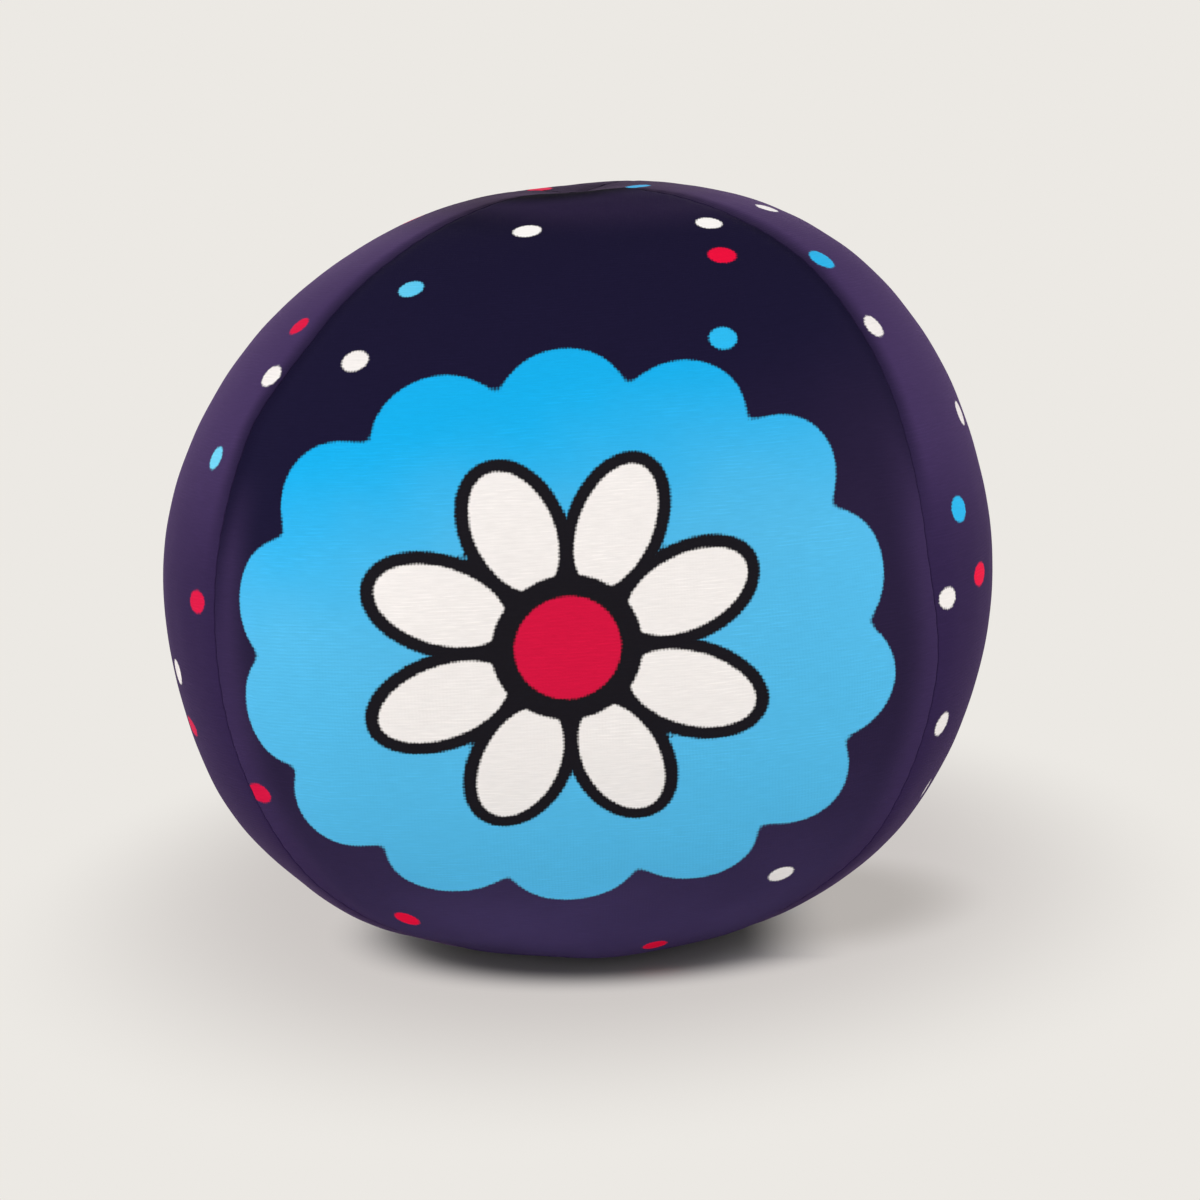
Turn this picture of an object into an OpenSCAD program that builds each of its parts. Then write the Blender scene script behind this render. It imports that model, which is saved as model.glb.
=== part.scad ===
// Stuffed fabric ball: four gores sewn edge to edge round a fibre filling.
// It stands on z = 0 with its axis along Z, and the front panel faces -Y.

/* [Ball] */
// Width across the middles of two opposite panels
ball_w = 120; // [80:1:200]
// Height of the stuffed ball before it settles under its own weight
ball_h = 114; // [80:1:190]
// How far it flattens where it stands
settle = 3; // [1:0.5:6]
// Squareness seen from above, where 2 is round
plan_power = 2.85; // [2:0.05:4]
// Fullness seen from the side, where 2 is an ellipse
side_power = 2.15; // [2:0.05:3]

/* [Cloth] */
// Thickness of the cloth
cloth_t = 0.8; // [0.5:0.1:1.5]
// Inner radius of the bend where a panel turns into its seam
bend_r = 0.4; // [0.2:0.1:1.5]
// Reach of a seam allowance into the ball, from the surface to its raw edge
allowance_w = 7; // [5:0.5:10]
// Gap between the two allowances of a seam
seam_gap = 0.1; // [0.05:0.05:0.3]

/* [Filling] */
// Clearance round the filling
fill_gap = 0.2; // [0.1:0.05:0.5]

/* [Thread] */
// Thickness of the sewing thread
thread_d = 0.4; // [0.2:0.05:0.6]
// Length of a machine stitch
stitch_len = 4; // [3:0.5:6]
// How far below the bend the machine stitches run
stitch_drop = 0.6; // [0.4:0.1:1.5]
// Length of the stuffing opening along its seam
opening_len = 50; // [30:1:70]
// Latitude of the middle of the stuffing opening, in degrees
opening_lat = -10; // [-25:1:25]
// Length of a ladder stitch that closes the opening
ladder_len = 5; // [4:0.5:8]

/* [Hidden] */

// Colours
print_blue = [0.30, 0.70, 0.90];
navy = [0.20, 0.16, 0.29];
fibre_white = [0.95, 0.94, 0.91];
thread_navy = [0.13, 0.11, 0.20];

// The ball's own measures
half_w = ball_w / 2;
half_h = ball_h / 2;
heart = [0, 0, half_h - settle];
// Half the angle that one of the four panels spans
seam_angle = 45;

// Cloth at a seam
half_gap = seam_gap / 2;
bend_out = cloth_t + bend_r;
bend_end = half_gap + bend_out;
bend_step = 45;

// Rows of a panel run from the bottom pole to the top pole, close together at both poles
low_rows = 8;
high_rows = 10;
pole_rows = 4;
sheet_columns = 8;
crown_lat = 80;
tip_r = 0.5;
// The cloth is trimmed to a point inside this radius round a pole
point_r = 5;

// Room for an allowance, and for the thread on its inner face
slot_half = half_gap + cloth_t + thread_d + fill_gap;
slot_depth = allowance_w + fill_gap;
fill_depth = cloth_t + fill_gap;
fill_edge = max(slot_half, bend_end);
// The four slots open into one pocket at each pole, this much narrower than the ring above it
pocket_share = 0.7;

// Thread
stitch_depth = bend_out + stitch_drop;
stitch_reach = half_gap + cloth_t + thread_d / 2;
// The ladder stitches run inside the cloth, at this share of the bend's height
ladder_share = 0.7;
ladder_depth = ladder_share * bend_out;
ladder_reach = half_gap + cloth_t / 2;
thread_sides = 4;
// Share of a stitch that its slanted end takes
stitch_slant = 0.12;
// Distance round the ball for one degree of latitude along a seam
mm_per_deg = (half_w * plan_reach(seam_angle) + half_h) * PI / 360;
opening_half = opening_len / 2 / mm_per_deg;
// Clear length between the ends of the two threads in one seam
thread_clear = 2;
thread_break = thread_clear / mm_per_deg;

function unit(v) = v / norm(v);
function reversed(list) = [for (i = [len(list) - 1:-1:0]) list[i]];
function joined(lists) = [for (list = lists) each list];

// Radius of the plan outline in direction a, as a share of its radius at a panel's middle
function plan_reach(a) =
    pow(pow(abs(cos(a)), plan_power) + pow(abs(sin(a)), plan_power), -1 / plan_power);

// Side profile: radius and height of the ring at a latitude, and the latitude of a radius
function ring_r(lat) = half_w * pow(cos(lat), 2 / side_power);
function ring_z(lat) = heart.z + sign(lat) * half_h * pow(abs(sin(lat)), 2 / side_power);
function lat_of(r) = acos(pow(r / half_w, side_power / 2));

// Point of the outer surface in direction a from the front, flattened where the ball stands
function skin(a, lat) = let (r = ring_r(lat) * plan_reach(a))
    [r * sin(a), -r * cos(a), max(0, ring_z(lat))];

// Point moved towards the middle of the ball
function sunk(p, depth) = p + depth * unit(heart - p);

// Latitudes of the rows
foot_lat = -asin(pow((half_h - settle) / half_h, side_power / 2));
function pole_radii(r) = [for (k = [1:pole_rows]) r * pow(tip_r / r, k / pole_rows)];
foot_lats = [for (r = pole_radii(ring_r(foot_lat))) -lat_of(r)];
low_lats = [for (i = [0:low_rows]) foot_lat * (1 - i / low_rows)];
high_lats = [for (i = [1:high_rows]) crown_lat * i / high_rows];
crown_lats = [for (r = pole_radii(ring_r(crown_lat))) lat_of(r)];
lats = concat(reversed(foot_lats), low_lats, high_lats, crown_lats);
fill_lats = [for (lat = lats) if (ring_r(lat) >= point_r) lat];

// Share of the cloth's full section that is left near a pole
function trim(lat) = min(1, ring_r(lat) / point_r);

// Point beside a seam of the front panel, w from the seam's plane: side is 1 for the right seam
function seam_point(lat, side, w, depth) =
    let (p = sunk(skin(seam_angle, lat), depth) - w * [cos(seam_angle), sin(seam_angle), 0])
    [side * p.x, p.y, p.z];

// One face of a panel's edge at a row, from the raw edge of the allowance up round the bend
function edge_path(lat, side, r) = let (share = trim(lat)) concat(
    [seam_point(lat, side, share * (bend_end - r), share * allowance_w)],
    [for (b = [0:bend_step:90])
        seam_point(lat, side, share * (bend_end - r * cos(b)), share * (bend_out - r * sin(b)))]
);

// One face of a panel between its two bends, from left to right
function sheet_path(lat, depth) =
    let (edge = seam_angle - asin(trim(lat) * bend_end / (ring_r(lat) * plan_reach(seam_angle))))
    [for (j = [1:sheet_columns - 1]) sunk(skin(edge * (2 * j / sheet_columns - 1), lat), depth)];

function panel_face(lat, r, depth) = concat(
    edge_path(lat, -1, r), sheet_path(lat, depth), reversed(edge_path(lat, 1, r))
);
function panel_ring(lat) = concat(
    panel_face(lat, bend_out, 0), reversed(panel_face(lat, bend_r, trim(lat) * cloth_t))
);

// The filling's ring at a row: four sides with a slot at each corner, whose floor starts at distance w
function turned(p, a) = [p.x * cos(a) - p.y * sin(a), p.x * sin(a) + p.y * cos(a), p.z];
function fill_side(lat, depth, w) = concat(
    [seam_point(lat, -1, w, slot_depth), seam_point(lat, -1, fill_edge, depth)],
    sheet_path(lat, depth),
    [seam_point(lat, 1, fill_edge, depth), seam_point(lat, 1, w, slot_depth)]
);
function fill_ring(lat, depth, w) =
    joined([for (a = [0:90:270]) [for (p = fill_side(lat, depth, w)) turned(p, a)]]);

// Floor of the pocket at the pole beyond a row
function pocket_ring(lat) =
    fill_ring(sign(lat) * lat_of(pocket_share * ring_r(lat)), slot_depth, slot_half / 2);

// Solid through rings of equal count, listed upwards and each running anticlockwise seen from above
module loft(rings, low_cap, top_cap, poles = []) {
    n = len(rings[0]);
    sides = [
        for (i = [0:len(rings) - 2], j = [0:n - 1])
            let (a = i * n + j, b = i * n + (j + 1) % n)
            each [[a, a + n, b + n], [a, b + n, b]]
    ];
    polyhedron(points = concat(joined(rings), poles), faces = concat(sides, low_cap, top_cap));
}

// Cap across a ring that runs out along one face and back along the other
function strip_cap(start, n) = [
    for (j = [0:n / 2 - 2])
        each [
            [start + j, start + j + 1, start + n - 2 - j],
            [start + j, start + n - 2 - j, start + n - 1 - j]
        ]
];
function fan_cap(start, n, pole) = [for (j = [0:n - 1]) [start + j, start + (j + 1) % n, pole]];
function flipped(faces) = [for (f = faces) reversed(f)];

module gore() {
    rings = [for (lat = lats) panel_ring(lat)];
    n = len(rings[0]);
    loft(rings, strip_cap(0, n), flipped(strip_cap(n * (len(rings) - 1), n)));
}

// Point in the vertical plane of two opposite seams. The angle runs from the equator on side a
// over the top pole to 180 on the far side, and under the bottom pole back to 360.
function seam_track(a, turn, w, depth) =
    let (
        far = turn > 90 && turn <= 270,
        lat = far ? 180 - turn : turn > 270 ? turn - 360 : turn
    )
    sunk(skin(far ? a + 180 : a, lat), depth) + w * [cos(a), sin(a), 0];

// Running stitch from one side of the seam to the other, from angle start to angle end
function stitches(a, start, end, len, reach, depth) =
    let (count = round((end - start) * mm_per_deg / len), step = (end - start) / count)
    [
        for (i = [0:count - 1], side = [i % 2 == 0 ? 1 : -1])
            each [
                seam_track(a, start + step * (i + stitch_slant), side * reach, depth),
                seam_track(a, start + step * (i + 1 - stitch_slant), side * reach, depth)
            ]
    ];

// Thread along a path that stays square to the direction of the ball's middle
module thread(path) {
    last = len(path) - 1;
    rings = [
        for (i = [0:last])
            let (
                before = unit(path[max(i, 1)] - path[max(i, 1) - 1]),
                after = unit(path[min(i, last - 1) + 1] - path[min(i, last - 1)]),
                down = unit(heart - path[i]),
                across = (cross(before, down) + cross(after, down)) / (1 + before * after)
            )
            [
                for (s = [0:thread_sides - 1], b = [360 * s / thread_sides])
                    path[i] + thread_d / 2 * (cos(b) * down + sin(b) * across)
            ]
    ];
    cap = [[0, 1, 2], [0, 2, 3]];
    loft(rings, cap, [for (f = flipped(cap)) [for (v = f) v + thread_sides * last]]);
}

// Thread of one seam from pole to pole, clear of the long seam that crosses both poles
module half_seam_thread(a) {
    color(thread_navy)
        thread(stitches(a, -lat_of(point_r), lat_of(point_r), stitch_len, stitch_reach, stitch_depth));
}

module front_panel() { color(print_blue) gore(); }
module right_panel() { color(navy) rotate(90) gore(); }
module back_panel() { color(navy) rotate(180) gore(); }
module left_panel() { color(navy) rotate(270) gore(); }

module fibre_filling() {
    low = fill_lats[0];
    top = fill_lats[len(fill_lats) - 1];
    rings = concat(
        [pocket_ring(low)],
        [for (lat = fill_lats) fill_ring(lat, fill_depth, slot_half)],
        [pocket_ring(top)]
    );
    n = len(rings[0]);
    count = n * len(rings);
    poles = [[0, 0, slot_depth], [0, 0, heart.z + half_h - slot_depth]];
    color(fibre_white)
        loft(rings, fan_cap(0, n, count), flipped(fan_cap(count - n, n, count + 1)), poles);
}

module front_left_thread() { half_seam_thread(-seam_angle); }
module back_right_thread() { half_seam_thread(180 - seam_angle); }

module long_seam_thread() {
    color(thread_navy)
        thread(stitches(
            180 + seam_angle,
            opening_lat + opening_half + thread_break, 360 + opening_lat - opening_half - thread_break,
            stitch_len, stitch_reach, stitch_depth
        ));
}

module opening_thread() {
    color(thread_navy)
        thread(stitches(
            180 + seam_angle, opening_lat - opening_half, opening_lat + opening_half,
            ladder_len, ladder_reach, ladder_depth
        ));
}

front_panel();
right_panel();
back_panel();
left_panel();
fibre_filling();
front_left_thread();
back_right_thread();
long_seam_thread();
opening_thread();
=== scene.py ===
"""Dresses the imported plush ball: four gores of printed knit, the threads of their seams, and the filling.

Lengths are in metres in the frame of the CAD solids. Each piece here replaces the solid of the same part.
"""

import math

import bmesh
import bpy
import numpy as np
from numpy.linalg import norm
from mathutils import Matrix, Vector
from mathutils.bvhtree import BVHTree


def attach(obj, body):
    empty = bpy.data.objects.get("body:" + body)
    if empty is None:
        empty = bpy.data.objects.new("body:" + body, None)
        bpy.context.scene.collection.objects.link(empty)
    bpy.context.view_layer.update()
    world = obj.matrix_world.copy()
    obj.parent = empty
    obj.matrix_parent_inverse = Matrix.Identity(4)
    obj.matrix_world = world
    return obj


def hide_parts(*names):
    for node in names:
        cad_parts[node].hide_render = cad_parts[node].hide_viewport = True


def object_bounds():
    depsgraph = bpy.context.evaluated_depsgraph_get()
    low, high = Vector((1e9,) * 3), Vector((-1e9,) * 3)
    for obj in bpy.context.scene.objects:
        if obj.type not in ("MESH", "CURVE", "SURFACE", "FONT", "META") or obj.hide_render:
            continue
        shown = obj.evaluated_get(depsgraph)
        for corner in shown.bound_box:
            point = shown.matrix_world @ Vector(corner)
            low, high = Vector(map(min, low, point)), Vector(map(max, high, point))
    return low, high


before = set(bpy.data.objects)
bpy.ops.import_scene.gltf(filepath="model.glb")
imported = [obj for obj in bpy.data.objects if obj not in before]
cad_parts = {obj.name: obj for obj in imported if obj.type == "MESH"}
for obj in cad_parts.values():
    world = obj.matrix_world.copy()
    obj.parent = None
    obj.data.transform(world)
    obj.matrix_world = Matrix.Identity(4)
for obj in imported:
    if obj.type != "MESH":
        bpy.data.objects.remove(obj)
CAD_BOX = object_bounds()
MM = 0.001
TINY = 1e-9

# Shape of the ball, as in the solids
SETTLE = 3 * MM
HALF_W = (CAD_BOX[1].x - CAD_BOX[0].x) / 2
HALF_H = (CAD_BOX[1].z - CAD_BOX[0].z + SETTLE) / 2
HEART = np.array([0.0, 0.0, HALF_H - SETTLE])
PLAN_POWER = 2.85
SIDE_POWER = 2.15
SEAM_ANGLE = math.pi / 4
TIP_R = 0.5 * MM
POINT_R = 5 * MM

# Cloth at a seam, as in the solids
CLOTH_T = 0.8 * MM
BEND_R = 0.4 * MM
ALLOWANCE = 7 * MM
HALF_GAP = 0.05 * MM
BEND_OUT = CLOTH_T + BEND_R

# Thread, as in the solids
THREAD_D = 0.4 * MM
STITCH_LEN = 4 * MM
STITCH_DROP = 0.6 * MM
STITCH_SLANT = 0.12
OPENING_LEN = 50 * MM
OPENING_LAT = -10.0
LADDER_LEN = 5 * MM
LADDER_SHARE = 0.7
THREAD_CLEAR = 2 * MM

# Filling, as in the solids: its gap to the cloth, its slots for the allowances, and its hollow at each pole
FILL_GAP = 0.2 * MM
SLOT_HALF = HALF_GAP + CLOTH_T + THREAD_D + FILL_GAP
SLOT_DEPTH = ALLOWANCE + FILL_GAP
POCKET_SHARE = 0.7

# How finely the pieces are drawn
FRONT_GRID = (240, 160)
SIDE_GRID = (200, 96)
INSIDE_COARSER = 4
CLIMB_STEPS = 5
BEND_STEPS = 8
STEEPEST = 0.7
FINE_ROWS = 2000
FILL_ROWS = 110
FILL_COLUMNS = 32
WALL_STEPS = 6
STITCH_POINTS = 12
THREAD_SIDES = 8

# How the stuffed cloth differs from the plain solids
FOOT_SOFT = 0.7 * MM
FOOT_HIGH = 14 * MM
SOFT_BEND = 0.16 * MM
LEAN_TOP = 0.0428
LEAN_LOW = 0.032
LUMP_SEED = 11
LUMP_WAVES = 14
LUMP_DEPTH = 0.05 * MM
LUMP_SPAN = 30 * MM
LUMP_SPREAD = (0.7, 1.5)
POLE_DEPTH = 1.5 * MM
POLE_REACH = 8 * MM
POLE_TILT = 0.07
POLE_TILT_REACH = 26 * MM
POLE_SPAN = (74 * MM, 94 * MM)
PUCKER_DEPTH = 0.08 * MM
PUCKER_PITCH = 3.1 * MM
PUCKER_REACH = 2.4 * MM
PUCKER_DRIFT = 1.3
PUCKER_DRIFT_LEN = 11 * MM
TUFT_DEPTH = 0.3 * MM
TUFT_WAVES = 5
TUFT_FINER = 6
PLY_LEN = 1.4 * MM
PLY_DEPTH = 0.16

# Cloth simulation of the cover: pressure inside, the foot held, and seams that the stitching draws tighter
COVER_ROWS = 46
COVER_COLUMNS = 24
COVER_AROUND = 4 * COVER_COLUMNS
COVER_TIP = 2 * MM
COVER_HELD = 0.5 * MM
COVER_FRAMES = 20
COVER_CAP = 1.5 * MM
COVER_CLOTH = {
    "quality": 8, "mass": 0.05, "air_damping": 8,
    "tension_damping": 25, "compression_damping": 25, "shear_damping": 25,
    "tension_stiffness": 15, "compression_stiffness": 15, "shear_stiffness": 5, "bending_stiffness": 1,
    "use_pressure": True, "uniform_pressure_force": 4.0,
    "vertex_group_mass": "held", "vertex_group_shrink": "drawn", "shrink_min": 0.0, "shrink_max": 0.008,
}

# Where the stuffing stands out or falls short, seen from the front:
# direction in degrees from +X, height, and width in degrees
BULGES = [
    (54, 0.85 * MM, 15), (20, -0.7 * MM, 14), (118, -0.6 * MM, 24), (170, 0.85 * MM, 14),
    (320, 0.35 * MM, 7), (340, -0.25 * MM, 9),
]

# Front seams that the stuffing has pushed aside: direction of the seam, shift along the cloth,
# heights over which the shift comes in from below, and heights over which it goes out again
SEAM_SHIFTS = [
    (-SEAM_ANGLE, -3.4 * MM, (4 * MM, 18 * MM), (80 * MM, 94 * MM)),
    (SEAM_ANGLE, 2.4 * MM, (4 * MM, 18 * MM), (42 * MM, 62 * MM)),
]

# Where the cloth just off the foot hangs lower or stands higher: place on the floor, share of its height
# that it loses, and how far this reaches
FOOT_SAGS = [
    (2 * MM, -25 * MM, 0.55, 10 * MM),
    (-17 * MM, -21 * MM, -0.45, 9 * MM),
]

# The photograph's view
PHOTO_SIZE = 1200
CAMERA_REACH = 0.42
CAMERA_ELEVATION = 0.1478
CAMERA_ROLL = -0.0605
HALF_W_PIXELS = 399.3
PIXEL = HALF_W / HALF_W_PIXELS
BALL_PIXEL = (579.8, 565.9)
SENSOR_WIDTH = 36

# Dots of the print: pixel of the middle in the photograph, and half-lengths round the ball and up it in mm
DOTS = {
    "white_dots": [
        (527, 231, 2.0, 1.9), (709, 223, 1.9, 1.8), (355, 361, 2.0, 1.7), (271, 376, 1.8, 1.7),
        (767, 208, 2.2, 1.6), (874, 326, 1.6, 1.8), (960, 413, 2.3, 1.8), (948, 598, 1.9, 1.5),
        (942, 724, 1.8, 1.8), (926, 788, 0.5, 1.6), (781, 874, 1.9, 1.7), (178, 672, 2.3, 1.8),
    ],
    "red_dots": [
        (722, 255, 2.0, 1.9), (299, 326, 1.7, 1.6), (540, 189, 1.8, 2.3), (980, 574, 3.0, 1.6),
        (655, 945, 1.8, 1.7), (407, 919, 1.7, 2.1), (260, 793, 2.1, 1.6), (192, 726, 3.6, 1.3),
        (197, 602, 2.2, 1.6),
    ],
    "blue_dots": [
        (723, 338, 1.9, 1.8), (411, 289, 1.8, 1.7), (216, 458, 1.6, 1.7), (638, 186, 2.6, 1.6),
        (822, 259, 1.9, 2.0), (959, 509, 2.4, 1.8),
    ],
}

# Scatter of the dots that aren't seen, and the mark of points inside or far from a print
DOT_SEED = 5
DOT_HALF = np.array([2.0, 1.8]) * MM
DOT_SPREAD = (0.9, 1.1)
SCATTER_SEED = 23
SCATTER_TRIES = 6000
SCATTER_WIDE = 0.94
SCATTER_HIGH = 0.985
SCATTER_HIDDEN = -0.09
SCATTER_SPACING = 14 * MM
SCATTER_SPREAD = (0.9, 1.25)
FAR = 1.0

# The printed medallion, a rosette with a daisy in it
MEDALLION_PIXEL = (569, 650)
ROSETTE_LOBES = 14
ROSETTE_HALF = np.array([35.5, 32.5]) * MM
LOBE_R = 8.2 * MM
NOTCH_SOFT = 0.9 * MM
DAISY_PETALS = 8
PETAL_HALF = np.array([9.2, 5.7]) * MM
PETAL_AT = 16.8 * MM
DISC_R = 9.6 * MM
CORE_R = 6.8 * MM
INK_LINE = 1.7 * MM


def srgb(red, green, blue):
    """Linear colour with alpha of 8-bit sRGB values."""
    shares = [c / 255 for c in (red, green, blue)]
    return tuple(c / 12.92 if c < 0.04045 else ((c + 0.055) / 1.055) ** 2.4 for c in shares) + (1.0,)


# Navy of the front gore and of the others, in painted light and shade: above, over the middle, and near the
# foot
# The front is darker above, with a painted sheen over the middle and painted light at the foot; the others
# are lighter above and darker at the foot
FRONT_SHADED_NAVIES = (srgb(27, 23, 49), srgb(40, 31, 58), srgb(64, 52, 90))
SIDE_SHADED_NAVIES = (srgb(66, 50, 90), srgb(48, 35, 70), srgb(41, 27, 61))
# Painted shade along the seams, painted light beside the front's seams, painted shade at the crown, and a
# painted highlight on the front's crest
SEAM_SHADE_NAVY = srgb(22, 18, 42)
BESIDE_SEAM_LIGHT_NAVY = srgb(58, 44, 80)
CROWN_SHADE_NAVY = srgb(10, 8, 22)
CREST_HIGHLIGHT_NAVY = srgb(40, 31, 59)

# Other colours
SKY = srgb(22, 169, 229)
SKY_PALE = srgb(82, 180, 226)
WHITE = srgb(235, 230, 228)
BLACK = srgb(27, 25, 30)
RED = srgb(206, 22, 62)
BACKING = srgb(214, 208, 210)
FIBRE = srgb(243, 240, 233)
FIBRE_DULL = srgb(226, 221, 212)
THREAD_INK = srgb(34, 29, 52)
THREAD_LIGHT = srgb(58, 50, 80)
PAPER = srgb(235, 232, 228)
PAPER_LIGHT = srgb(238, 236, 232)
BACKGROUND = srgb(236, 233, 228)
# Painted shadow on the paper, seen by the camera only
PAINTED_SHADOW = srgb(204, 199, 196)
PAINTED_SHADOW_DEEP = srgb(182, 177, 173)
SHADE = srgb(0, 0, 0)
PLAIN_SHEEN = srgb(255, 255, 255)
CLOTH_SHEEN = (0.84, 0.56, 1.0, 1.0)
THREAD_SHEEN = (0.7, 0.7, 0.8, 1.0)

# Inks of the dots: the usual one, the copy painted with light and shade that it turns into, and the axis and
# the span over which it turns
DOT_INKS_PAINTED_LIGHT = {
    # Painted light on the white dots near the top, painted shade on the red ones on the left, and a painted
    # sheen on the blue ones on the left
    "white_dots": (WHITE, srgb(251, 248, 246), "Z", 94 * MM, 102 * MM),
    "red_dots": (srgb(234, 16, 60), srgb(212, 22, 66), "X", -30 * MM, -40 * MM),
    "blue_dots": (srgb(44, 180, 234), srgb(108, 204, 236), "X", -5 * MM, -30 * MM),
}

# Tones of the cloth, in painted light and shade: heights between which they change, and their reach from a
# seam
CLOUD_DEPTH = 14 * MM
PALE_SPAN = (92 * MM, 60 * MM)
PALE_TILT = 0.3
# The sky's paling is partly print that pales where the cloth stretches, partly painted sheen
SKY_SPAN = (95 * MM, 63 * MM)
SKY_TILT = 0.18
LOW_SPAN = (48 * MM, 4 * MM)
SEAM_SHADE = 0.75
SEAM_SHADE_REACH = 3.2 * MM
BESIDE_REACH = 8 * MM
BESIDE_SPAN = (88 * MM, 68 * MM)
# Painted light that lightens the cloth and its print towards the foot
BELLY_PAINTED_LIGHT = 1.45
BELLY_SPAN = (28 * MM, 4 * MM)
FRONT_SHEEN = 0.005
SIDE_SHEEN = 0.09

# Patches of painted tone, here the painted shade at the crown and the painted highlight on the front's
# crest:
# the middle, the weight of each direction, and the distances from the middle at which the patch begins and
# is full
ORIGIN = (0.0, 0.0, 0.0)
LEVEL = (1.0, 1.0, 0.0)
CROWN_SHADE_PATCH = (ORIGIN, LEVEL, 32 * MM, 9.6 * MM)
CREST_HIGHLIGHT_PATCH = ((9 * MM, -2 * MM, 0.0), LEVEL, 30 * MM, 20 * MM)
CREST_CLEAR = (ORIGIN, LEVEL, 11 * MM, 18 * MM)

# Patches of the shadow on the paper: the painted shadow under the ball, where the real shadow ends, where
# the painted shadow behind the ball ends, and the deeper painted shadow to its right; the real shadow also
# ends over SIDE_SPAN
CONTACT_SHADOW_PATCH = (ORIGIN, (1.1, 0.9, 1.0), 44 * MM, 26 * MM)
CONTACT_SHADOW_SHARE = 0.67
SHADOW_PATCH = ((4 * MM, 0.0, 0.0), (0.9, 1.0, 1.0), 30 * MM, 42 * MM)
PAINTED_SHADOW_PATCH = ((0.0, 28 * MM, 0.0), (1.0, 0.75, 1.0), 45 * MM, 100 * MM)
DEEP_SHADOW_PATCH = ((29 * MM, 0.0, 0.0), (1.0, 1.0, 1.0), 32 * MM, 15 * MM)
SIDE_SPAN = (20 * MM, 36 * MM)

# Knit of the cloth, and the teeth that it gives to the print's edges
ROW_PITCH = 0.48 * MM
WALE_PITCH = 0.42 * MM
KNIT_DRIFT = 0.5 * MM
ROW_HEIGHT = 0.18
WALE_HEIGHT = 0.08
NAP_HEIGHT = 0.6
STREAK_HEIGHT = 0.7
STREAK_TONE = 0.04
LINE_TONE = 0.1
EDGE_SOFT = 0.2 * MM
EDGE_UNEVEN = 0.2 * MM
EDGE_TOOTH = 0.045 * MM

# Fineness of the noises per metre in each direction, and the values between which they count
DRIFT_GRAIN = (160, 160, 13)
TOOTH_ALONG = (400, 2600, 7)
TOOTH_ACROSS = (2600, 400, 11)
STREAK_GRAIN = (380, 4600, 3)
NAP_GRAIN = (3000, 5200, 5)
PATCH_GRAIN = (70, 150, 17)
CLOUD_GRAIN = (45, 45, 45)
STRAND_GRAIN = (260, 700, 420)
CLUMP_GRAIN = (60, 60, 60)
TWIST_GRAIN = (4000, 4000, 4000)
PAPER_GRAIN = (3, 3, 3)
PAPER_TOOTH = (900, 900, 900)
NOISE_SPAN = (0.3, 0.7)
PATCH_SPAN = (0.35, 0.7)
STREAK_SPAN = (0.2, 0.8)
LINE_SPAN = (0.35, 0.65)
ROW_SPAN = (0.1, 1.0)

# Least and most roughness of each material
CLOTH_ROUGH = (0.82, 0.92)
FIBRE_ROUGH = (0.85, 0.98)
THREAD_ROUGH = (0.45, 0.65)
PAPER_ROUGH = (0.75, 0.85)

# Floor and backdrop
FLOOR_FRONT = -3.0
SWEEP_AT = 1.0
SWEEP_R = 0.9
SWEEP_STEPS = 24
BACKDROP_TOP = 3.0
STAGE_HALF = 4.0

# Studio light: strength and colour of the world, and each lamp's name, place, size and watts
WORLD_STRENGTH = 0.46
WORLD_COLOR = (1.0, 0.99, 0.97, 1.0)
LAMPS = [
    ("key_strip", (-0.05, -0.47, 0.95), (1.5, 0.36), 2.0),
    ("front_fill", (0.0, -1.2, 0.16), (0.9, 0.3), 4.8),
    ("left_box", (-1.0, -0.05, 0.45), (0.6, 0.8), 5.0),
    ("right_box", (1.0, -0.05, 0.45), (0.6, 0.8), 4.0),
    ("back_fill", (0.0, 1.3, 0.5), (0.9, 0.4), 2.0),
]


# Paths, faces and objects

def xyz(points):
    return np.moveaxis(points, -1, 0)


def unit(vectors):
    return vectors / norm(vectors, axis=-1, keepdims=True)


def run_along(path):
    """Length of a path, or of several side by side, from the first point to each point."""
    steps = norm(np.diff(path, axis=0), axis=-1)
    return np.concatenate([np.zeros_like(steps[:1]), np.cumsum(steps, axis=0)])


def smooth_step(value, start, end):
    """Smooth rise from 0 at start to 1 at end."""
    share = np.clip((value - start) / (end - start), 0, 1)
    return share ** 2 * (3 - 2 * share)


def grid_ids(rows, columns, start=0):
    """Numbers of a grid's points, row by row."""
    return start + np.arange(rows * columns).reshape(rows, columns)


def grid_faces(ids):
    """Quads between the rows and columns of a grid."""
    return np.stack([ids[:-1, :-1], ids[:-1, 1:], ids[1:, 1:], ids[1:, :-1]], -1).reshape(-1, 4).tolist()


def ring_faces(ids):
    """Quads between rings of equal count, each ring closed on itself."""
    return grid_faces(np.concatenate([ids, ids[:, :1]], axis=1))


def pole_faces(ids, low, high):
    """Triangles from the lowest ring to one pole and from the highest ring to the other."""
    faces = []
    for ring, pole in ((ids[0, ::-1], low), (ids[-1], high)):
        ring = ring.tolist()
        faces += [[first, second, pole] for first, second in zip(ring, ring[1:] + ring[:1])]
    return faces


def add_object(name, data):
    made = bpy.data.objects.new(name, data)
    bpy.context.scene.collection.objects.link(made)
    return made


def add_mesh(name, points, faces):
    mesh = bpy.data.meshes.new(name)
    mesh.from_pydata(points.tolist(), [], faces)
    return add_object(name, mesh)


def dress(made, material):
    """Smooth shading and a material for a mesh object."""
    polygons = made.data.polygons
    polygons.foreach_set("use_smooth", [True] * len(polygons))
    made.data.materials.append(material)


# Geometry of the ball

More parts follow.
